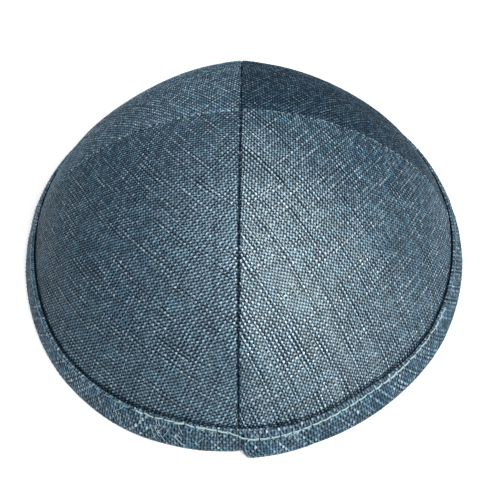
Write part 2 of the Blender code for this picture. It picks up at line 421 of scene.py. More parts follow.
def goreMesh(name, gore):
    start, seed = gore["start"], gore["seed"]
    cut = flatCut(start)
    azimuth, angle, threads, faces = clothGrid(cut)
    charts = [0] * len(faces)
    level, whole = acrossGore(cut, azimuth, angle)
    apart = np.maximum(level, 0), np.maximum(whole - level, 0)
    mmPerDegree = np.maximum(whole / 90, 0.05)
    half = np.clip((90 - angle) / 6, 0, 1) / 2  # of the gap at a seam, which closes at the top
    for away, seam, way in zip(apart, gore["seams"], (1, -1)):
        azimuth = azimuth + way * seams[seam]["gap"] * half * (1 - smoothStep(away / 1.6)) / mmPerDegree
    azimuth = np.clip(azimuth, 0, 90)
    top, up = crownPoint(start + azimuth, angle), outward(start + azimuth, angle)
    height = goreRelief(start + azimuth, angle, apart, gore, threads[:, 0], threads[:, 1])
    points = top + up * height[:, None]
    loop, loopAt = edgeLoop(name, faces, azimuth, angle)
    inner = innerFace(start, len(points) + len(loop))
    faces += inner["faces"]

    # The edge of the cloth, between the two faces
    ring = [len(points) + i for i in range(len(loop))]
    for i in range(len(loop)):
        k = (i + 1) % len(loop)
        faces.append((loop[i], loop[k], ring[k], ring[i]))
    faces += joinLoops(ring, loopAt, inner["loop"], inner["loopAt"])
    charts += [1] * (len(faces) - len(charts))

    innerThreads = readTable(cut["flat"], inner["azimuth"], inner["angle"])[0]
    allThreads = np.concatenate([threads, threads[loop], innerThreads])
    allPoints = np.concatenate([points, top[loop] - up[loop] * cloth["thickness"], inner["points"]])
    raised = np.zeros(len(allPoints))
    raised[:len(points)] = 1
    raised[loop] = 0.4
    maps = goreMaps(allThreads, len(points))

    # The allowances, pressed open against the inside along both seams
    for side in (0, 1):
        strip = allowanceStrip(start, cut, side, seed, len(allPoints))
        allPoints = np.concatenate([allPoints, strip["points"]])
        allThreads = np.concatenate([allThreads, strip["threads"]])
        faces += strip["faces"]
        charts += strip["charts"]
        maps = [np.concatenate([old, new]) for old, new in zip(maps, strip["maps"])]

    # Painted shade: where the crown turns in along the binding's upper fold, its colour is darkened
    paintedCreaseShade = np.clip(bindingPinch(start + azimuth, angle) / binding["pinch"][0] * 2 - 1, 0, 1)
    raised, paintedCreaseShade = [np.pad(mask, (0, len(allPoints) - len(mask))) for mask in (raised, paintedCreaseShade)]
    allThreads = onTheBias(allThreads, seed, gore["mirrored"])
    return clothMesh(name, allPoints, faces, allThreads, raised, paintedCreaseShade, charts, maps)


def turnEighth(flat):
    # From axes along a gore's two seams to axes across the gore and down it
    return np.stack([flat[:, 0] - flat[:, 1], flat[:, 0] + flat[:, 1]], -1) / sqrt(2)


def onTheBias(flat, seed, mirrored):
    # From flat cloth to its threads, which are spaced a little unevenly and wander
    turned = turnEighth(flat)
    if mirrored:
        turned[:, 0] *= -1
    random = np.random.default_rng(seed)
    spacing, eachWay, lengths = cloth["threadSpacing"], 400, (9, 17, 31)
    placed = turned.copy()
    for axis in (0, 1):
        jitter = random.normal(0, cloth["spacingWander"] * spacing, 2 * eachWay)
        placed[:, axis] += np.interp(turned[:, axis] / spacing, np.arange(-eachWay, eachWay), jitter)
        placed[:, axis] += waves(seed * 5 + axis, *turned.T, lengths, cloth["threadWander"])
    return placed


def allowanceStrip(start, cut, side, seed, base):
    # A flat strip with a slightly frayed raw edge: a closed body of its own. Its profile goes round it
    # in shares of its width, and in depths below the crown's rule.
    rows = 90
    profile = ((0.12, 0.86), (0.45, 0.8), (0.98, 0.8), (1.0, 1.0), (0.98, 1.22), (0.45, 1.24), (0.12, 1.2))
    angles = np.linspace(crown["clothEdge"] + 1, 87, rows)
    ragged = waves(seed * 3 + side, angles * 4, angles * 0, (3.1, 5.3, 11, 29), 0.16)
    width = np.minimum(cloth["allowance"] + ragged, np.interp(angles, degrees, cut["depth"]) * 0.62)
    mmPerDegree = acrossGore(cut, angles * 0, angles)[1] / 90
    points, threads = [], []
    for out, deep in profile:
        away = np.clip(width * out / mmPerDegree, 0, 44)
        azimuth = away if side == 0 else 90 - away
        lift = waves(seed + side, angles * 2, angles * 0 + out * 9, (37, 61), 0.05) * (out > 0.5)
        depth = deep + np.clip(lift, -0.02, 0.2)
        points.append(crownPoint(start + azimuth, angles) - outward(start + azimuth, angles) * depth[:, None])
        threads.append(readTable(cut["flat"], azimuth, angles)[0])
    n = len(profile)
    points = np.stack(points, 1).reshape(-1, 3)
    threads = np.stack(threads, 1).reshape(-1, 2)
    faces = []
    for i in range(rows - 1):
        for k in range(n):
            a, b = base + i * n + k, base + i * n + (k + 1) % n
            faces.append((a, b, b + n, a + n))
    faces += [tuple(base + k for k in reversed(range(n))), tuple(base + (rows - 1) * n + k for k in range(n))]
    faces = faces if side == 0 else [face[::-1] for face in faces]
    row, column = np.divmod(np.arange(rows * n), n)
    laid = np.stack([0.76 + 0.11 * side + 0.1 * column / n, 0.02 + 0.22 * row / rows], -1)
    wrapped = laid + np.stack([np.where(column == 0, 0.1, 0), 0 * row], -1)
    charts = ([2] * (n - 1) + [3]) * (rows - 1) + [2, 2]
    return {"points": points, "threads": threads, "faces": faces, "charts": charts,
            "maps": [laid, laid, laid, wrapped]}


def clothMesh(name, points, faces, threads, raised, paintedCreaseShade, charts, maps):
    # Each face takes its place on the baked textures from the map that its chart names
    mesh = bpy.data.meshes.new(name)
    mesh.from_pydata((points * mm).tolist(), [], [list(map(int, f)) for f in faces])
    bm = bmesh.new()
    bm.from_mesh(mesh)
    bmesh.ops.recalc_face_normals(bm, faces=bm.faces)
    bm.to_mesh(mesh)
    bm.free()
    corner = np.zeros(len(mesh.loops), np.int32)
    mesh.loops.foreach_get("vertex_index", corner)
    uv = mesh.uv_layers.new(name="cloth")
    uv.uv.foreach_set("vector", threads[corner].astype(np.float32).ravel())
    chart = np.repeat(charts, [len(face) for face in faces])
    bake = mesh.uv_layers.new(name="OFBake")
    bake.uv.foreach_set("vector", np.stack(maps)[chart, corner].astype(np.float32).ravel())
    for given, values in (("raised", raised), ("paintedCreaseShade", paintedCreaseShade)):
        mask = mesh.attributes.new(given, "FLOAT", "POINT")
        mask.data.foreach_set("value", values.astype(np.float32))
    mesh.shade_smooth()
    return mesh


# The binding: one strip folded over the raw rim, its raw edges turned in

binding = {
    "top": 7.0,  # the height of both folds above the floor
    "outerGap": 0.2,  # from the crown to the outer leg
    "innerGap": 1.66,
    "leg": 1.5,  # two layers of cloth
    "footRound": 0.9,
    "rawEdge": 1.4,
    "midLeg": 4.0,  # a row of points halfway up each face that doesn't show
    "stitchBelow": 0.3,  # from the upper fold to the stitches
    "stitchDrops": ((4, 15, 1.1), (27, 9, 0.35), (360, 3.5, 0.8)),  # which run lower beside the lap
    "stitchDip": (0.2, 0.55),  # how deep they draw the leg in, and over what height
    "stitchPitch": 3.1,
    "puff": (0.16, 2.6, 1.3),  # how far the leg swells below them, at what height, and its spread
    "swells": (  # where the fold is higher or lower: side, spread and height
        (28.5, 9.5, 1.1), (80, 12, 0.9), (180, 70, 0.44), (-52, 17, -1.3), (-14, 10, 1.0),
    ),
    "lapSpread": (1.8, 0.5),  # the covering end stands off by this much at its foot and at its fold
    "lapEase": 17.0,
    "lapCorner": (1.1, 3.2, 5.0),  # its lower corner is cut back: degrees, up to a height, over degrees
    "lapCover": 6.0,
    "covered": (0.1, 0.85),  # how far the covered end is drawn in, and how thin it is pressed
    "stepUp": (1.8, 0.3),  # degrees before the lap's edge where it starts and stops rising
    "footLift": 0.8,
    "endRound": 0.7,
    "pinch": (0.32, 0.24),  # how deep, and over what height, the crown turns in along the upper fold
    "lapPinch": (12, 7, 0.1),  # and how much deeper beside the lap: side, spread and depth
    "bands": 8,  # that the strip is cut into for its baked textures
}


def bindingSection():
    # The strip cut across, as rows of: out from the crown, height, and where the row closes up at a
    # folded end. First come those that show, down the outer leg and under the foot.
    near, leg, top = binding["outerGap"], binding["leg"], binding["top"]
    far, inNear = near + leg, -binding["innerGap"]
    inFar = inNear - leg
    layer = leg / 2 - 0.025
    raw, turn, fold, middle = binding["rawEdge"], binding["footRound"], leg / 2, binding["midLeg"]
    outMiddle, inMiddle, shoulder = near + fold, inNear - fold, top - fold
    step = cloth["meshStep"]

    shown = []
    for i in range(7):
        a = radians(180 - 30 * i)
        shown.append((outMiddle + cos(a) * fold, shoulder + sin(a) * fold, outMiddle, shoulder))
    face = round((shoulder - turn) / step)
    for i in range(1, face):
        h = shoulder + (turn - shoulder) * i / face
        shown.append((far, h, outMiddle, h))
    for i in range(5):
        a = radians(22.5 * i)
        shown.append((far - turn + cos(a) * turn, turn - sin(a) * turn, outMiddle, layer / 2))
    for i in range(1, 5):
        shown.append((far - turn - i * step * 1.2, 0, far - turn - i * step * 1.2, layer / 2))

    hidden = [(-1.0, 0, -1.0, layer / 2), (inFar + turn, 0, inFar + turn, layer / 2)]
    hidden += [(inFar + turn * 0.3, turn * 0.3, inMiddle, layer / 2), (inFar, turn, inMiddle, turn)]
    hidden += [(inFar, h, inMiddle, h) for h in (2.3, 3.8, 5.3, shoulder)]
    hidden += [(inMiddle + fold * out, top - fold * down, inMiddle, shoulder)
               for out, down in ((-0.7, 0.3), (0, 0), (0.7, 0.3))]
    hidden += [(inNear, h, inMiddle, h) for h in (shoulder, middle, raw)]
    hidden += [(inNear - layer, h, inMiddle, h) for h in (raw, middle, shoulder)]
    hidden += [(inMiddle, shoulder + 0.05, inMiddle, shoulder)]
    hidden += [(inFar + layer, h, inMiddle, h) for h in (shoulder, middle, turn)]
    hidden += [(inFar + turn, layer, inFar + turn, layer / 2), (far - turn, layer, far - turn, layer / 2)]
    hidden += [(far - layer, h, outMiddle, h) for h in (turn, middle, shoulder)]
    hidden += [(outMiddle, shoulder + 0.05, outMiddle, shoulder)]
    hidden += [(near + layer, h, outMiddle, h) for h in (shoulder, middle, raw)]
    hidden += [(near, h, outMiddle, h) for h in (raw, middle)]
    return shown, hidden


def foldHeight(side):
    # The height of the upper fold, which isn't quite even
    total = binding["top"]
    for middle, spread, amount in binding["swells"]:
        total = total + amount * np.exp(-(aroundFrom(side, middle) / spread) ** 2)
    return total


def bindingPinch(azimuth, angle):
    # How far the crown turns in just above the upper fold
    side = (azimuth - crown["lapEdge"]) % 360
    above = angle * perDegree - foldHeight(side)
    deep, spread = binding["pinch"]
    middle, width, more = binding["lapPinch"]
    deep = deep + more * np.exp(-((side - middle) / width) ** 2)
    return deep * np.exp(-(np.maximum(above, 0) / spread) ** 2) * smoothStep((above + 4.5) / 2)


def bindingPoint(side, out, height):
    # side counts degrees from the covering end, round to the covered one
    back, below, ease = binding["lapCorner"]
    low = np.maximum(1 - height / below, 0)
    azimuth = crown["lapEdge"] + side + back * low ** 2 * (1 - smoothStep(side / ease))
    foot, fold = binding["lapSpread"]
    spread = (foot + (fold - foot) * height / binding["top"]) * (1 - smoothStep(side / binding["lapEase"]))
    riseStart, riseEnd = binding["stepUp"]
    lift = binding["footLift"] * smoothStep((side - 360 + riseStart) / (riseStart - riseEnd))
    height = lift + height * (foldHeight(side) - lift) / binding["top"]
    drawn, thin = binding["covered"]
    under = smoothStep((side - 349) / 8)
    outer, inner = binding["outerGap"], -binding["innerGap"]
    onOuter = out > -0.5
    pressed = np.where(onOuter, outer - drawn + (out - outer) * thin, inner + drawn + (out - inner) * thin)
    out = out + (pressed - out) * under + np.where(onOuter, spread, -spread)
    level = outward(azimuth, 0 * azimuth)
    return crownPoint(azimuth, height / perDegree) + level * out[..., None], level


def bindingPuff(side, along, height):
    # How far the outer leg stands off its section: the stitches draw it in, and it swells below
    dip, reach = binding["stitchDip"]
    drawn = np.exp(-((height - stitchHeight(side)) / reach) ** 2)
    pucker = 0.75 + 0.25 * np.cos(along * tau / binding["stitchPitch"])
    puff, middle, spread = binding["puff"]
    below = np.exp(-((height - middle) / spread) ** 2)
    soft = waves(31, along, height * 0, (13, 19, 29, 47), 0.1)
    soft = soft + waves(32, along, height * 2, (4.3, 6.1, 7.9), 0.05)
    return -dip * drawn * pucker + (puff + soft) * below


def stitchHeight(side):
    # The stitches' place on the section, which the upper fold's own height then stretches
    drift = 0.08 * np.sin(np.radians(side) * 5 + 0.6) + 0.05 * np.sin(np.radians(side) * 13)
    below = binding["stitchBelow"] + drift
    for middle, spread, amount in binding["stitchDrops"]:
        below = below + amount * np.exp(-((side - middle) / spread) ** 2)
    return binding["top"] * (1 - below / foldHeight(side))


def bindingLength():
    # Degrees round the rim against millimetres along the strip
    side = np.linspace(0, 360 + binding["lapCover"], 3661)
    middle, _ = bindingPoint(side, 0 * side + 1.7, 0 * side + 4)
    steps = np.linalg.norm(np.diff(middle, axis=0), axis=-1)
    return side, np.concatenate([[0], np.cumsum(steps)])


sideAt, lengthAt = bindingLength()


def stripFaces(rows, fine):
    # Faces between neighbouring rows, right round the section, and the band that each lies in
    bands = binding["bands"]
    faces, charts = [], []
    for here, there in zip(rows, rows[1:] + rows[:1]):
        if len(here) == len(there):
            faces += [(here[i], here[i + 1], there[i + 1], there[i]) for i in range(len(here) - 1)]
        elif len(here) > len(there):
            for i in range(len(there) - 1):
                faces.append((*here[i * fine:i * fine + fine + 1], there[i + 1], there[i]))
        else:
            for i in range(len(here) - 1):
                faces.append((here[i], here[i + 1], *there[i * fine:i * fine + fine + 1][::-1]))
        made = len(faces) - len(charts)
        wrapped = bands if there is rows[0] else 0
        charts += (np.floor((np.arange(made) + 0.5) / made * bands) + wrapped).astype(int).tolist()
    faces.append(tuple(row[0] for row in rows))
    faces.append(tuple(row[-1] for row in rows[::-1]))
    return faces, charts + [0, bands - 1]


def bindingMesh(name):
    shown, hidden = bindingSection()
    section = shown + hidden
    fine = 3  # the hidden rows have one point for three of those that show
    narrow = 0.4  # and take less room on the baked textures
    step, bands, outerGap = cloth["meshStep"], binding["bands"], binding["outerGap"]
    many = round(lengthAt[-1] / step / fine) * fine + 1
    along = np.linspace(0, lengthAt[-1], many)
    side = np.interp(along, lengthAt, sideAt)
    fromEnd = np.clip(along / binding["endRound"], 0, 1)
    closing = 1 - np.sqrt(np.maximum(1 - (1 - fromEnd) ** 2, 0.003))

    points, threads, raised, paintedCreaseShade, rows, places = [], [], [], [], [], []
    developed, most = 0.0, len(shown) + len(hidden) * narrow
    for k, (out, height, shutOut, shutHeight) in enumerate(section):
        isShown = k < len(shown)
        pick = slice(None, None, 1 if isShown else fine)
        s, a, c = side[pick], along[pick], closing[pick]
        o, h = out + (shutOut - out) * c, height + (shutHeight - height) * c
        if isShown and out > outerGap + 0.6:
            o = o + bindingPuff(s, a, h) * (1 - c)
        if k:
            last = section[k - 1]
            developed += step if isShown else sqrt((out - last[0]) ** 2 + (height - last[1]) ** 2)
        rows.append(np.arange(len(s)) + sum(map(len, rows)))
        points.append(bindingPoint(s, o, h)[0])
        threads.append(np.stack([a * 0 + developed, a], -1))
        down = k if isShown else len(shown) + (k - len(shown)) * narrow
        places.append(np.stack([a / lengthAt[-1] * bands, a * 0 + down / most], -1))
        relief = min(max(height, 0) / 0.4, 1) if 0 < k < len(shown) - 1 else 0  # the foot stays flat
        raised.append(a * 0 + relief * (0.5 if k < 7 else 1))
        # Painted shade: the binding's rows that face the crown at its upper fold are darkened
        paintedCreaseShade.append(a * 0 + ((1.0, 0.6, 0.1)[k] if k < 3 else 0))
    faces, charts = stripFaces(rows, fine)

    places = np.concatenate(places)
    onFirst = np.arange(len(places)) < len(rows[0])
    maps = []
    for wrapped in (0, 1):
        for band in range(bands):
            down = band + 0.02 + 0.96 * (places[:, 1] + onFirst * wrapped)
            maps.append(np.stack([0.01 + 0.98 * (places[:, 0] - band), down / bands], -1))
    threads = onTheBias(np.concatenate(threads), 21, False)
    points, raised, paintedCreaseShade = [np.concatenate(parts) for parts in (points, raised, paintedCreaseShade)]
    return clothMesh(name, points, faces, threads, raised, paintedCreaseShade, charts, maps)


# The weave's relief, on the side of each piece that shows

def floatHeights(tree, where, lean, rows):
    # How high the threads down and across stand at a point of the cloth, by the rule of a plain weave,
    # and how full the cloth is there, from the holes to the floats. Both the mesh and the linen's
    # colours follow it. The twist of the yarn leans each float a little, and rows says how strongly
    # the floats line up along each diagonal.
    cell = addNode(tree, vectorMath, "FLOOR", [where])
    centred = addNode(tree, vectorMath, "SUBTRACT", [where, cell])
    centred = addNode(tree, vectorMath, "SUBTRACT", [centred, (0.5, 0.5, 0)])
    near = addNode(tree, "ShaderNodeSeparateXYZ", None, [centred]).outputs
    whole = addNode(tree, "ShaderNodeSeparateXYZ", None, [cell]).outputs
    count = addNode(tree, mathNode, "ADD", [whole[0], whole[1]])
    odd = addNode(tree, mathNode, "FLOORED_MODULO", [count, 2.0])
    over = addNode(tree, mathNode, "MULTIPLY_ADD", [odd, 2.0, -1.0])
    heights = []
    for mine, other, sign in ((0, 1, 1.0), (1, 0, -1.0)):
        across = addNode(tree, mathNode, "MULTIPLY_ADD", [near[other], -lean, near[mine]])
        turned = addNode(tree, mathNode, "MULTIPLY", [across, np.pi])
        bow = addNode(tree, mathNode, "COSINE", [turned])
        bow = addNode(tree, mathNode, "MAXIMUM", [bow, 0.0])
        bow = addNode(tree, mathNode, "POWER", [bow, 1.3])
        bow = addNode(tree, mathNode, "MULTIPLY", [bow, 0.6])
        along = addNode(tree, mathNode, "MULTIPLY", [near[other], np.pi])
        wave = addNode(tree, mathNode, "COSINE", [along])
        wave = addNode(tree, mathNode, "MULTIPLY", [wave, over])
        heights.append(addNode(tree, mathNode, "MULTIPLY_ADD", [wave, 0.4 * sign, bow]))
    full = 0.0
    for direction, share, phase in (((1, 0, 0), 0.34, 0.0), ((0, 1, 0), 0.26, 0.0), ((2, 0, 0), 0.2, 0.0),
                                    ((1, -1, 0), rows[0], -1.0), ((1, 1, 0), rows[1], 0.0)):
        along = addNode(tree, vectorMath, "DOT_PRODUCT", [centred, direction])
        turned = addNode(tree, mathNode, "MULTIPLY_ADD", [along.outputs["Value"], tau, phase])
        wave = addNode(tree, mathNode, "COSINE", [turned])
        full = addNode(tree, mathNode, "MULTIPLY_ADD", [wave, share, full])
    return {"down": heights[0], "across": heights[1], "full": full, "cell": cell, "near": near}


def newGeometryTree(name, inputs):
    # A tree with its geometry, its named inputs and its material, and the outputs of its input node
    tree = bpy.data.node_groups.new(name, "GeometryNodeTree")
    sockets = [("Geometry", "Geometry"), *inputs, ("Material", "Material")]
    for given, kind in sockets:
        tree.interface.new_socket(given, in_out="INPUT", socket_type="NodeSocket" + kind)
    tree.interface.new_socket("Geometry", in_out="OUTPUT", socket_type="NodeSocketGeometry")
    return tree, addNode(tree, "NodeGroupInput").outputs


def endTree(tree, geometry, material):
    real = addNode(tree, "GeometryNodeRealizeInstances", None, {"Geometry": geometry})
    done = addNode(tree, "GeometryNodeSetMaterial", None, {"Geometry": real, "Material": material})
    addNode(tree, "NodeGroupOutput", None, {"Geometry": done})
    return tree


def weaveTree():
    names = ("Thread Spacing", "Thread Height", "Seed", "First Rows", "Second Rows")
    tree, given = newGeometryTree("weaveRelief", [(name, "Float") for name in names])
    uv = addNode(tree, namedAttribute, {"data_type": "FLOAT_VECTOR"}, {"Name": "cloth"})
    mask = addNode(tree, namedAttribute, {"data_type": "FLOAT"}, {"Name": "raised"})
    inThreads = addNode(tree, vectorMath, "DIVIDE",
                        [uv.outputs["Attribute"], given["Thread Spacing"]])
    weave = floatHeights(tree, inThreads, cloth["lean"], (given["First Rows"], given["Second Rows"]))
    high = addNode(tree, mathNode, "MAXIMUM", [weave["down"], weave["across"]])
    high = addNode(tree, mathNode, "MULTIPLY", [high, 0.3])
    high = addNode(tree, mathNode, "MULTIPLY_ADD", [weave["full"], 0.35, high])
    uneven = addNode(tree, noiseTexture, {"noise_dimensions": "4D"},
                     {"Vector": inThreads, "W": given["Seed"], "Scale": 0.55, "Detail": 1.0})
    uneven = addNode(tree, mapRange, None, {"Value": uneven, **noiseSpan, "To Min": 0.65, "To Max": 1.35})
    for factor in (uneven, given["Thread Height"], mask.outputs["Attribute"]):
        high = addNode(tree, mathNode, "MULTIPLY", [high, factor])
    normal = addNode(tree, "GeometryNodeInputNormal")
    offset = addNode(tree, vectorMath, "SCALE", {0: normal, "Scale": high})
    moved = addNode(tree, "GeometryNodeSetPosition", None, {"Geometry": given["Geometry"], "Offset": offset})
    return endTree(tree, moved, given["Material"])


def growWithNodes(name, mesh, tree, values):
    # Runs a tree on a mesh and keeps the result as a plain mesh
    seedling = addObject(name + "_start", mesh)
    modifier = seedling.modifiers.new("grow", "NODES")
    modifier.node_group = tree
    for item in tree.interface.items_tree:
        if item.in_out == "INPUT" and item.name in values:
            modifier[item.identifier] = values[item.name]
    ready = seedling.evaluated_get(bpy.context.evaluated_depsgraph_get())
    grown = bpy.data.meshes.new_from_object(ready)
    seedling.modifiers.remove(modifier)
    bpy.data.objects.remove(seedling)
    grown.name = name
    return addObject(name, grown)


# Materials

def threadColours(tree, look, where, weave):
    # Slubs: each thread is thicker, paler or darker along its own length. Returns the colour of the
    # threads down and across, how thick they are, and how full the cloth is with its thick threads.
    tints, slubs, full = [], [], weave["full"]
    axes = (((0, 0.06, 0), (7.31, 0, 0), "down"), ((0.06, 0, 0), (0, 7.31, 0), "across"))
    for axis, (along, step, way) in enumerate(axes):
        own = addNode(tree, vectorMath, "MULTIPLY", [where, along])
        own = addNode(tree, vectorMath, "MULTIPLY_ADD", [weave["cell"], step, own])
        slub = addNode(tree, noiseTexture, {"noise_dimensions": "2D"},
                       {"Vector": own, "Scale": 1.0, "Detail": 3.0, "Roughness": 0.6})
        pale = addNode(tree, mapRange, None, {"Value": slub, **noiseSpan})
        dark, light = map(toLinear, look[way])
        tints.append(addNode(tree, mixColours, asColours, {0: pale, 6: dark, 7: light}).outputs[2])
        slubs.append(slub)
        turned = addNode(tree, mathNode, "MULTIPLY", [weave["near"][axis], tau])
        wave = addNode(tree, mathNode, "COSINE", [turned])
        wave = addNode(tree, mathNode, "SUBTRACT", [wave, 0.4])
        most = look["slubs"][axis]
        ridge = addNode(tree, mapRange, None, {"Value": slub, **noiseSpan, "To Min": -most, "To Max": most})
        full = addNode(tree, mathNode, "MULTIPLY_ADD", [wave, ridge, full])
    return tints, slubs, full


def linenMaterial(name, look):
    # Linen-look cotton, plain woven from slubby slate-blue yarns that were dyed a little unevenly: its
    # floats show as pale and dark dashes with dark gaps between them, and have a soft, banded gloss
    material, tree, shader = newMaterial(name)
    uv = addNode(tree, "ShaderNodeUVMap", {"uv_map": "cloth"})
    where = addNode(tree, vectorMath, "SCALE", {0: uv, "Scale": 1 / cloth["threadSpacing"]})
    fray = addNode(tree, noiseTexture, None, {"Vector": where, "Scale": 2.4, "Detail": 3.0})
    fray = addNode(tree, vectorMath, "MULTIPLY_ADD",
                   [fray.outputs["Color"], (0.5, 0.5, 0), (-0.25, -0.25, 0)])
    frayed = addNode(tree, vectorMath, "ADD", [where, fray])
    weave = floatHeights(tree, frayed, cloth["lean"], look["rows"])
    lead = addNode(tree, mathNode, "SUBTRACT", [weave["across"], weave["down"]])
    isAcross = addNode(tree, mapRange, {"interpolation_type": "SMOOTHSTEP"},
                       {"Value": lead, "From Min": -0.08, "From Max": 0.08, "To Min": 0.3, "To Max": 0.7})
    tints, slubs, full = threadColours(tree, look, where, weave)
    onThread = addNode(tree, mapRange, {"interpolation_type": "SMOOTHSTEP"},
                       {"Value": full, "From Min": look["hole"], "From Max": look["thread"]})

    # A few floats across have a warm fleck of unbleached fibre
    chance = addNode(tree, "ShaderNodeTexWhiteNoise", {"noise_dimensions": "2D"}, {"Vector": weave["cell"]})
    fleck = addNode(tree, mapRange, None, {"Value": chance, "From Min": 0.96, "From Max": 1.0, "To Max": 0.4})
    flecked = addNode(tree, mixColours, asColours, {0: fleck, 6: tints[1], 7: toLinear(look["fleck"])})
    threads = addNode(tree, mixColours, asColours, {0: isAcross, 6: tints[0], 7: flecked.outputs[2]})

    # Fine fibres, which run round each thread with its twist. They are drawn coarser than real ones,
    # about 0.15 mm apart, so that they show.
    turned = addNode(tree, "ShaderNodeMapping", None,
                     {"Vector": where, "Rotation": (0, 0, radians(38)), "Scale": (3.0, 9.0, 1.0)})
    fibre = addNode(tree, noiseTexture, {"noise_dimensions": "2D"},
                    {"Vector": turned, "Scale": 1.0, "Detail": 2.0})
    space = addNode(tree, "ShaderNodeTexCoord").outputs["Object"]
    mottle = addNode(tree, noiseTexture, None, {"Vector": space, "Scale": 45.0, "Detail": 3.0})

    # Painted shade darkens the cloth where it turns in along the binding's upper fold, and on the binding's
    # rows that face it; each piece's shade is painted light and shade too. Its fibres, soft patches and
    # single floats are lighter or darker, and a thick or a thin thread tells on the threads that it crosses
    # too.
    paintedCreaseShade = addNode(tree, "ShaderNodeAttribute", {"attribute_name": "paintedCreaseShade"})
    shade = addNode(tree, mapRange, None, {"Value": paintedCreaseShade.outputs["Fac"], "From Max": 0.8,
                                         "To Min": look["shade"], "To Max": look["shade"] * 0.35})
    down, across = look["slubs"]
    for source, spread in ((fibre, 0.3), (mottle, 0.12), (chance, 0.38),
                           (slubs[0], 0.2 * down), (slubs[1], 0.2 * across)):
        part = addNode(tree, mapRange, None,
                       {"Value": source, **noiseSpan, "To Min": 1 - spread, "To Max": 1 + spread})
        shade = addNode(tree, mathNode, "MULTIPLY", [part, shade])
    shaded = addNode(tree, vectorMath, "SCALE", {0: threads.outputs[2], "Scale": shade})

    # The dye drifts a little between green and violet
    drift = addNode(tree, noiseTexture, None, {"Vector": space, "Scale": 210.0, "Detail": 1.0})
    drift = addNode(tree, mapRange, None, {"Value": drift, **noiseSpan})
    greener, redder = look["drift"]
    hue = addNode(tree, mixColours, asColours, {0: drift, 6: (*greener, 1), 7: (*redder, 1)})
    dyed = addNode(tree, vectorMath, "MULTIPLY", [shaded, hue.outputs[2]])
    surface = addNode(tree, mixColours, asColours, {0: onThread, 6: toLinear(look["gap"]), 7: dyed})

    top = addNode(tree, mathNode, "MAXIMUM", [weave["down"], weave["across"]])
    relief = addNode(tree, mathNode, "MULTIPLY_ADD", [fibre, 0.25, top])
    bump = addNode(tree, "ShaderNodeBump", None, {"Height": relief, "Strength": look["bump"],
                                                "Distance": cloth["threadHeight"] * mm})

    # The gaps hardly shine, and the cloth's fuzz dulls it where it is seen edge-on
    gloss = addNode(tree, mapRange, None,
                    {"Value": onThread, "To Min": look["gloss"] * 0.05, "To Max": look["gloss"]})
    slant = addNode(tree, "ShaderNodeLayerWeight", None, {"Blend": 0.5}).outputs["Facing"]
    dull = addNode(tree, mapRange, None,
                   {"Value": slant, "From Min": 0.2, "From Max": 0.8, "To Min": 1.0, "To Max": 0.1})
    gloss = addNode(tree, mathNode, "MULTIPLY", [gloss, dull])

    # A thread is smooth along its own length and round across it, so its gloss is a band
    tangent = addNode(tree, "ShaderNodeTangent", {"direction_type": "UV_MAP", "uv_map": "cloth"})
    setInputs(tree, shader, {
        "Base Color": surface.outputs[2], "Normal": bump, "Specular IOR Level": gloss, "Tangent": tangent,
        "Roughness": look["roughness"], "IOR": look["ior"], "Specular Tint": toLinear(look["glossTint"]),
        "Anisotropic": look["anisotropy"], "Anisotropic Rotation": 0.25})
    return material


crownLook = {
    "down": ("#305f7b", "#7b98aa"),  # the darkest and the palest of the threads down each gore
    "across": ("#386981", "#aab6ba"),
    "slubs": (0.5, 0.5),
    "rows": (0.6, 0.3),
    "fleck": "#a89c88",
    "drift": ((0.95, 1.02, 0.99), (1.05, 0.985, 1.01)),
    "gap": "#071c2e",
    "hole": -0.85,  # how full the weave is where a gap is at its darkest
    "thread": 1.35,  # and where a thread has its whole colour
    # painted light and shade: how much lighter or darker a piece's colour is made for how the lamps light it;
    # each gore and the binding set their own
    "shade": 1.0,
    "gloss": 0.7,
    "glossTint": "#dcf4ff",
    "anisotropy": 0.5,
    "ior": 2.2,
    "roughness": 0.48,
    "bump": 0.35,
}
bindingLook = dict(crownLook, hole=-1.25, thread=1.5, shade=0.92, gloss=0.35)


# The pieces of cloth

def linenPiece(name, mesh, look, seed, node):
    mesh.materials.clear()
    piece = growWithNodes(name, mesh, relief, {
        "Thread Spacing": cloth["threadSpacing"], "Thread Height": cloth["threadHeight"] * mm,
        "Seed": float(seed), "First Rows": look["rows"][0], "Second Rows": look["rows"][1],
        "Material": linenMaterial("slateLinen_" + name, look)})
    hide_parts(node)
    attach(piece, "root")
    return piece


relief = weaveTree()
for name, gore in gores.items():
    look = dict(crownLook, **{key: gore[key] for key in crownLook if key in gore})
    piece = linenPiece(name, goreMesh(name, gore), look, gore["seed"], gore["node"])
print("crown: four gores of woven linen")

name = "rim_binding_linen"
edge = linenPiece(name, bindingMesh(name), bindingLook, 3, "rim_binding")
print("binding: a folded strip, lapped at the front")


# Stitches, each a short bowed length of two-ply thread whose ends dive into the cloth

stitches = {
    "top": {"Stitch Length": 2.75, "Thread Width": 0.5, "Bow": 0.26, "Sink": 0.1},
    "half": {"Stitch Length": 2.3, "Thread Width": 0.32, "Bow": 0.16, "Sink": 0.12},
    "sunken": {"Stitch Length": 2.2, "Thread Width": 0.34, "Bow": 0.12, "Sink": 0.14},
    "seam": {"Stitch Length": 0.8, "Thread Width": 0.36, "Bow": 0.14, "Sink": 0.06},
}
topstitching = {
    "pale": (337.2, 418.0),  # between these sides it stands out; elsewhere it has sunk in
    "slack": (321.0, 336.5),  # and here only half of it has
}
seamPitch = 2.4


def addTube(tree, curve, sides, thick):
    # A closed, round thread along a curve
    ring = addNode(tree, "GeometryNodeCurvePrimitiveCircle", None, {"Resolution": sides, "Radius": 0.5})
    tube = addNode(tree, "GeometryNodeCurveToMesh", None,
                   {"Curve": curve, "Profile Curve": ring, "Scale": thick, "Fill Caps": True})
    return addNode(tree, "GeometryNodeSetShadeSmooth", None, [tube])


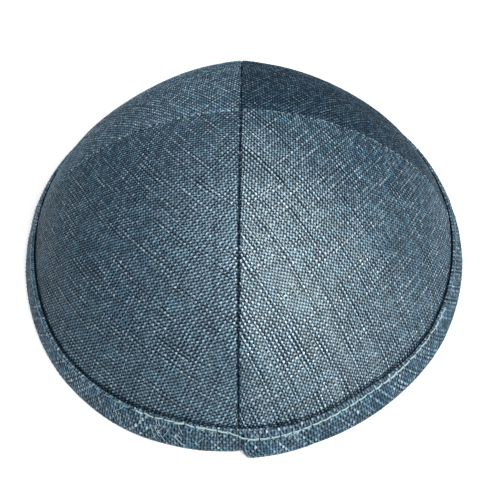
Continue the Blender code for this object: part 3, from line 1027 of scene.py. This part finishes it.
def stitchTree():
    names = ("Pitch", *stitches["top"])
    tree, given = newGeometryTree("stitchRow", [(name, "Float") for name in names] + [("Seed", "Int")])

    # One stitch along X
    line = addNode(tree, "GeometryNodeCurvePrimitiveLine", None, {"Start": (-1, 0, 0), "End": (1, 0, 0)})
    line = addNode(tree, "GeometryNodeResampleCurve", {"mode": "COUNT"}, {"Curve": line, "Count": 9})
    place = addNode(tree, "ShaderNodeSeparateXYZ", None, [addNode(tree, "GeometryNodeInputPosition")])
    squared = addNode(tree, mathNode, "MULTIPLY", [place, place])
    arch = addNode(tree, mathNode, "SUBTRACT", [1.0, squared])
    rise = addNode(tree, mathNode, "MULTIPLY", [arch, given["Bow"]])
    rise = addNode(tree, mathNode, "SUBTRACT", [rise, given["Sink"]])
    half = addNode(tree, mathNode, "MULTIPLY", [given["Stitch Length"], 0.5])
    reach = addNode(tree, mathNode, "MULTIPLY", [place, half])
    spot = addNode(tree, "ShaderNodeCombineXYZ", None, {0: reach, 2: rise})
    line = addNode(tree, "GeometryNodeSetPosition", None, {"Geometry": line, "Position": spot})
    slim = addNode(tree, mathNode, "POWER", [arch, 0.35])
    slim = addNode(tree, mathNode, "MAXIMUM", [slim, 0.35])
    thick = addNode(tree, mathNode, "MULTIPLY", [slim, given["Thread Width"]])
    stitch = addTube(tree, line, 7, thick)

    # A row of them along the path, with their bow away from the cloth
    path = addNode(tree, "GeometryNodeMeshToCurve", None, [given["Geometry"]])
    path = addNode(tree, "GeometryNodeResampleCurve", {"mode": "LENGTH"},
                   {"Curve": path, "Length": given["Pitch"]})
    ahead = addNode(tree, "GeometryNodeInputTangent")
    facing = addNode(tree, namedAttribute, {"data_type": "FLOAT_VECTOR"}, {"Name": "facing"})
    turn = addNode(tree, "FunctionNodeAlignRotationToVector", {"axis": "X"}, {"Vector": ahead})
    turn = addNode(tree, "FunctionNodeAlignRotationToVector", {"axis": "Z", "pivot_axis": "X"},
                   {"Rotation": turn, "Vector": facing})
    size = addNode(tree, "FunctionNodeRandomValue", {"data_type": "FLOAT_VECTOR"},
                   {"Min": (0.82, 0.7, 0.75), "Max": (1.1, 1.2, 1.15), "Seed": given["Seed"]})
    row = addNode(tree, "GeometryNodeInstanceOnPoints", None,
                  {"Points": path, "Instance": stitch, "Rotation": turn, "Scale": size})
    askew = addNode(tree, "FunctionNodeRandomValue", {"data_type": "FLOAT_VECTOR"},
                    {"Min": (0, 0, -0.17), "Max": (0, 0, 0.17), "Seed": given["Seed"]})
    row = addNode(tree, "GeometryNodeRotateInstances", None, {"Instances": row, "Rotation": askew})
    return endTree(tree, row, given["Material"])


def pathMesh(name, lines):
    # Each line is its points in millimetres and the way out of the cloth at each
    mesh = bpy.data.meshes.new(name)
    points, edges = [], []
    for spots, _ in lines:
        edges += [(len(points) + i, len(points) + i + 1) for i in range(len(spots) - 1)]
        points += (spots * mm).tolist()
    mesh.from_pydata(points, edges, [])
    facing = mesh.attributes.new("facing", "FLOAT_VECTOR", "POINT")
    facing.data.foreach_set("vector", np.concatenate([out for _, out in lines]).astype(np.float32).ravel())
    return mesh


def sewingThread(name, light, dark):
    # Polyester-wrapped cotton thread, spun of two plies: its twist shows, and it is slightly glossy
    ply = 0.5
    material, tree, shader = newMaterial(name)
    space = addNode(tree, "ShaderNodeTexCoord").outputs["Object"]
    noise = addNode(tree, noiseTexture, None, {"Vector": space, "Scale": 900.0, "Detail": 2.0})
    tint = addNode(tree, mixColours, asColours, {0: noise, 6: toLinear(dark), 7: toLinear(light)})
    twist = addNode(tree, "ShaderNodeTexWave", {"wave_type": "BANDS", "bands_direction": "DIAGONAL"},
                    {"Vector": space, "Scale": 1 / (ply * mm), "Distortion": 1.0})
    bump = addNode(tree, "ShaderNodeBump", None, {"Height": twist, "Strength": 0.5, "Distance": 0.06 * mm})
    setInputs(tree, shader, {"Base Color": tint.outputs[2], "Normal": bump, "Roughness": 0.55,
                             "Sheen Weight": 0.2})
    return material


def onBinding(side, height, lift):
    # Points on the outer leg and the way out of it there; near the top it's the fold's rounding
    fold = binding["leg"] / 2
    over = np.clip((height - binding["top"]) / fold + 1, 0, 0.95)
    level = np.sqrt(1 - over ** 2)
    along = np.interp(side, sideAt, lengthAt)
    out = binding["outerGap"] + fold + fold * level + bindingPuff(side, along, height)
    spots, way = bindingPoint(side, out, height)
    way = way * level[:, None] + over[:, None] * [0, 0, 1]
    return spots + way * lift, way


def bindingStitchPath(first, last):
    # Round the binding from one side to another; past 360 it runs on across the lap
    side = np.arange(first, last, 0.25)
    side = np.where(side > 359.2, side - 360, side)
    side = side[(side > 0.4) | (side < -1)]
    return onBinding(side, stitchHeight(side), cloth["threadHeight"] * 0.7)


def seamStitchPath(azimuth):
    angle = np.arange(10.5, 89.5, 0.5)
    azimuth = 0 * angle + azimuth
    up = outward(azimuth, angle)
    return crownPoint(azimuth, angle) - up * 0.05, up


def threadPiece(name, lines, tree, values):
    piece = growWithNodes(name, pathMesh(name, lines), tree, values)
    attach(piece, "root")


def stitchPiece(name, lines, kind, pitch, material, seed):
    sizes = {key: size * mm for key, size in stitches[kind].items()}
    threadPiece(name, lines, stitchRow, {**sizes, "Pitch": pitch * mm, "Seed": seed, "Material": material})


stitchRow = stitchTree()
paleThread = sewingThread("paleSewingThread", "#b9cccd", "#86a1a7")
# Painted shade: the stitches that have sunk in along the fold use a darker copy of the same thread
paintedShadeThread = sewingThread("paintedShadeSewingThread", "#7f979f", "#5c7782")
pale, slack, pitch = topstitching["pale"], topstitching["slack"], binding["stitchPitch"]
stitchPiece("binding_topstitch", [bindingStitchPath(*pale)], "top", pitch, paleThread, 5)
stitchPiece("binding_topstitch_slack", [bindingStitchPath(*slack)], "half", pitch, paintedShadeThread, 7)
sunken = [bindingStitchPath(pale[1] - 360, slack[0])]
stitchPiece("binding_topstitch_sunken", sunken, "sunken", pitch, paintedShadeThread, 6)
sideSeams = [seamStitchPath(azimuth) for azimuth in (0, 180)]
stitchPiece("seam_stitches", sideSeams, "seam", seamPitch, paleThread, 9)
print("stitches: the binding's row and the side seams'")


# Loose fibres that cling to the binding, left of the lap

fibres = {  # sides are where on the binding they start, and lift is how far they stand off it
    "loose_slubs": {"many": 15, "sides": (317, 353), "length": (2.0, 6.5), "bend": 0.03, "lift": 0.3,
                    "seed": 23},
    "loose_fuzz": {"many": 46, "sides": (337, 372), "length": (0.9, 2.6), "bend": 0.14, "lift": 0.42,
                   "seed": 29},
}
fibreWidth = 0.17  # a thin bundle of fibres, as single ones are too fine to show


def fibreLines(kind):
    # Slubs lie aslant, as the binding's threads do; fuzz leaves the topstitching in any direction
    size = fibres[kind]
    random = np.random.default_rng(size["seed"])
    step, mmPerDegree = 0.3, 1.5
    lines = []
    for _ in range(size["many"]):
        start = random.uniform(*size["sides"]) % 359
        aslant, anyWay = random.choice([45, 135]) + random.normal(0, 7), random.uniform(0, 360)
        level, near = random.uniform(1, 5), stitchHeight(np.array(start)) + random.normal(0, 0.15)
        heading, height = (aslant, level) if kind == "loose_slubs" else (anyWay, near)
        steps = np.arange(int(random.uniform(*size["length"]) / step))
        ways = radians(heading) + random.normal(0, size["bend"]) * steps
        side = start + np.cumsum(np.cos(ways)) * step / mmPerDegree
        height = height + np.cumsum(np.sin(ways)) * step
        on = (height > 0.9) & (height < binding["top"] - 0.1) & (side > 0.4) & (side < 359.2)
        if on[:3].all():
            end = len(on) if on.all() else np.argmin(on)
            lines.append(onBinding(side[:end], height[:end], size["lift"]))
    return lines


def fibreTree():
    tree, given = newGeometryTree("looseFibres", [("Thickness", "Float"), ("Seed", "Int")])
    path = addNode(tree, "GeometryNodeMeshToCurve", None, [given["Geometry"]])
    uneven = addNode(tree, "FunctionNodeRandomValue", None, {2: 0.6, 3: 1.2, "Seed": given["Seed"]})
    thick = addNode(tree, mathNode, "MULTIPLY", [uneven.outputs[1], given["Thickness"]])
    return endTree(tree, addTube(tree, path, 5, thick), given["Material"])


fluff = fibreTree()
for name, size in fibres.items():
    threadPiece(name, fibreLines(name), fluff,
                {"Thickness": fibreWidth * mm, "Seed": size["seed"], "Material": paleThread})
print("fibres: slubs and fuzz on the binding")


# Floor, light and camera

studio = {
    "paper": "#f4f5f6",
    "reach": 1.0,  # metres of floor each way, as far as the lamps keep it white
    "surround": 0.055,  # how bright the room round the object is
    "backdrop": 1.0,  # and the wall that the camera sees behind it
    "lights": {  # azimuth, elevation, distance and size in metres, power in watts
        "front": (-36, 48, 1.6, 1.13, 20.5),
        "top": (-105, 77, 1.6, 1.0, 15.0),
        "back": (120, 38, 1.6, 0.92, 2.2),
    },
    "eye": {"distance": 243.62, "elevation": 41.6806, "azimuth": 1.0602, "roll": 1.0596, "aim": 28.0,
            "right": 1.93, "up": -26.26, "lens": 50.41},  # aim is a height; right and up frame the view
}


def makeFloor():
    mesh = bpy.data.meshes.new("studioFloor")
    reach = studio["reach"]
    corners = [(x * reach, y * reach, 0) for x, y in ((-1, -1), (1, -1), (1, 1), (-1, 1))]
    mesh.from_pydata(corners, [], [(0, 1, 2, 3)])
    paper, tree, shader = newMaterial("palePaper")
    setInputs(tree, shader, {"Base Color": toLinear(studio["paper"]), "Roughness": 1.0,
                             "Specular IOR Level": 0.0})
    mesh.materials.append(paper)
    addObject("studioFloor", mesh)


def makeLights():
    world = bpy.data.worlds.new("studio")
    bpy.context.scene.world = world
    world.use_nodes = True
    tree = world.node_tree
    seen = addNode(tree, "ShaderNodeLightPath").outputs["Is Camera Ray"]
    wall = addNode(tree, mapRange, None,
                   {"Value": seen, "To Min": studio["surround"], "To Max": studio["backdrop"]})
    setInputs(tree, tree.nodes["Background"], {"Color": (1, 1, 1, 1), "Strength": wall})
    for name, (azimuth, elevation, distance, size, power) in studio["lights"].items():
        lamp = bpy.data.lights.new(name, "AREA")
        lamp.shape = "DISK"
        lamp.size = size
        lamp.energy = power
        holder = addObject(name, lamp)
        a, e = radians(azimuth), radians(elevation)
        way = Vector((cos(a) * cos(e), sin(a) * cos(e), sin(e)))
        holder.location = way * distance
        holder.rotation_euler = way.to_track_quat("Z", "Y").to_euler()


def makeCamera():
    eye = studio["eye"]
    a, e, roll = radians(eye["azimuth"]), radians(eye["elevation"]), radians(eye["roll"])
    aim = Vector((0, crown["rimMiddle"], eye["aim"]))
    away = Vector((sin(a) * cos(e), -cos(a) * cos(e), sin(e)))
    place = aim + away * eye["distance"]
    right = Vector((cos(a), sin(a), 0))
    target = aim + right * eye["right"] + away.cross(right) * eye["up"]
    back = (place - target).normalized()
    right = Vector((0, 0, 1)).cross(back).normalized()
    up = back.cross(right)
    turned = (right * cos(roll) - up * sin(roll), right * sin(roll) + up * cos(roll), back)
    camera = bpy.data.cameras.new("camera")
    camera.sensor_width = 36
    camera.lens = eye["lens"]
    camera.clip_start = 0.01
    holder = addObject("camera", camera)
    holder.matrix_world = Matrix.Translation(place * mm) @ Matrix(turned).transposed().to_4x4()
    bpy.context.scene.camera = holder


makeFloor()
makeLights()
makeCamera()
bpy.context.scene.view_settings.view_transform = "Standard"
bpy.context.scene.view_settings.look = "Medium High Contrast"
print("studio: floor, three lights and the camera")

bpy.context.view_layer.update()
